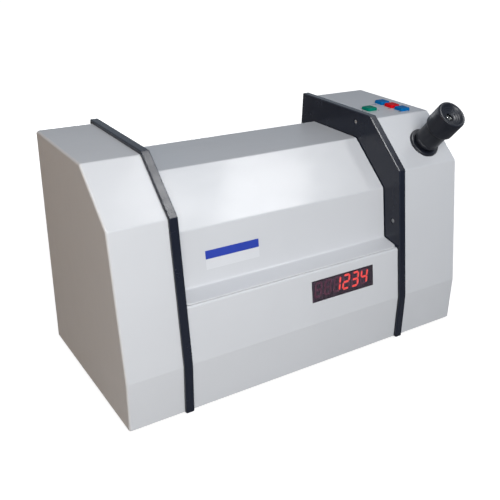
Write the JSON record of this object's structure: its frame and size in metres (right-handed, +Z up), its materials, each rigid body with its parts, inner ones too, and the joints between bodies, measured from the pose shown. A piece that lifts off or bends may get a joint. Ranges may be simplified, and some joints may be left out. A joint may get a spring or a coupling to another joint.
{
  "type": "polarimeter",
  "caption": "Bench polarimeter: two sloped end casings on dark frame plates, a hinged sample lid between them, a digit display, push buttons and a focusing eyepiece.",
  "frame": {"origin": "on the surface it stands on, under the middle of the body", "axes": "+X along the light path to the eyepiece end, the operator's side faces -Y, +Z up"},
  "size_m": [0.43, 0.2097, 0.273],
  "materials": {
    "casing_paint": "satin light grey powder paint",
    "dark_frame": "satin dark blue-black paint",
    "black_coat": "matt black",
    "inner_steel": "plain sheet",
    "screw_steel": "bright",
    "bare_aluminium": "machined",
    "brass": "machined",
    "rubber": "matt",
    "black_plastic": "fine matt",
    "green_board": "board lacquer",
    "digit_module": "dark red",
    "dark_window": "smoked, polished",
    "green_cap": "satin",
    "blue_cap": "satin",
    "red_cap": "satin",
    "film": "grey polarising film",
    "clear_glass": "polished",
    "amber_glass": "polished",
    "mirror_glass": "silvered",
    "core_iron": "varnished stack"
  },
  "bodies": {
    "body": {"base_plate": "inner_steel", "beam_windows": "clear_glass", "bearing_block": "bare_aluminium", "board_posts": "screw_steel", "button_board": "green_board", "chamber_tray": "black_coat", "colour_filter": "amber_glass", "condenser_lens": "clear_glass", "cradle_legs": "black_coat", "display_board": "digit_module", "display_window": "dark_window", "drive_motor": "screw_steel", "encoder_reader": "black_plastic", "eyepiece_collar": "black_coat", "feet": "rubber", "folding_mirror": "mirror_glass", "frame_screws": "screw_steel", "front_panel": "casing_paint", "fuse_holder": "black_plastic", "heat_sink": "bare_aluminium", "hinge_brackets": "screw_steel", "hinge_pins": "screw_steel", "lamp_tube": "black_coat", "led_board": "green_board", "left_casing": "casing_paint", "left_frame": "dark_frame", "lid_bumpers": "rubber", "main_board": "green_board", "mirror_post": "bare_aluminium", "motor_bracket": "screw_steel", "objective_lens": "clear_glass", "polariser_cell": "black_coat", "polariser_films": "film", "power_inlet": "black_plastic", "rear_panel": "casing_paint", "right_casing": "casing_paint", "right_frame": "dark_frame", "switch_body": "black_plastic", "telescope_tube": "black_coat", "transformer": "core_iron", "tube_cradle": "black_coat", "window_rings": "black_coat"},
    "lid": {"chamber_lid": "casing_paint", "lid_knuckles": "screw_steel"},
    "analyser": {"analyser_hub": "bare_aluminium", "analyser_film": "film", "analyser_gear": "brass", "encoder_disc": "clear_glass", "encoder_rings": "bare_aluminium"},
    "rotor": {"motor_shaft": "screw_steel", "motor_pinion": "brass"},
    "sleeve": {"focus_sleeve": "black_coat", "eyepiece_lenses": "clear_glass"},
    "eyepiece": {"eyepiece_barrel": "black_coat", "eyecup": "black_plastic"},
    "rocker": {"power_rocker": "black_plastic"},
    "button_green": {"button_green": "green_cap"},
    "button_blue_rear": {"button_blue_rear": "blue_cap"},
    "button_red": {"button_red": "red_cap"},
    "button_blue_front": {"button_blue_front": "blue_cap"}
  },
  "joints": [
    {"name": "lid_hinge", "type": "hinge", "parent": "body", "child": "lid", "pos_m": [-0.012, 0.08629, 0.214], "axis": [-1, 0, 0], "range_deg": [0, 95]},
    {"name": "analyser_spin", "type": "hinge", "parent": "body", "child": "analyser", "pos_m": [0.147, 0.00224, 0.15597], "axis": [1, 0, 0], "continuous": true},
    {"name": "motor_spin", "type": "hinge", "parent": "body", "child": "rotor", "pos_m": [0.147, 0.03824, 0.15597], "axis": [1, 0, 0], "continuous": true},
    {"name": "focus_travel", "type": "slide", "parent": "body", "child": "sleeve", "axis": [0, -0.6481, 0.7616], "range_m": [-0.00133, 0.00399]},
    {"name": "eyepiece_turn", "type": "hinge", "parent": "sleeve", "child": "eyepiece", "pos_m": [0.181, -0.05239, 0.22017], "axis": [0, -0.6481, 0.7616], "range_deg": [-60, 180]},
    {"name": "power_toggle", "type": "hinge", "parent": "body", "child": "rocker", "pos_m": [0.034, 0.0963, 0.046], "axis": [1, 0, 0], "range_deg": [-20, 0]},
    {"name": "press_green", "type": "slide", "parent": "body", "child": "button_green", "axis": [0, 0, -1], "range_m": [0, 0.0015], "stiffness_N_per_m": 300, "springref_m": -0.002},
    {"name": "press_blue_rear", "type": "slide", "parent": "body", "child": "button_blue_rear", "axis": [0, 0, -1], "range_m": [0, 0.0015], "stiffness_N_per_m": 300, "springref_m": -0.002},
    {"name": "press_red", "type": "slide", "parent": "body", "child": "button_red", "axis": [0, 0, -1], "range_m": [0, 0.0015], "stiffness_N_per_m": 300, "springref_m": -0.002},
    {"name": "press_blue_front", "type": "slide", "parent": "body", "child": "button_blue_front", "axis": [0, 0, -1], "range_m": [0, 0.0015], "stiffness_N_per_m": 300, "springref_m": -0.002}
  ],
  "couplings": [
    {"joint": "motor_spin", "follows": "analyser_spin", "ratio": -4},
    {"joint": "eyepiece_turn", "follows": "focus_travel", "rad_per_m": 785.4}
  ]
}
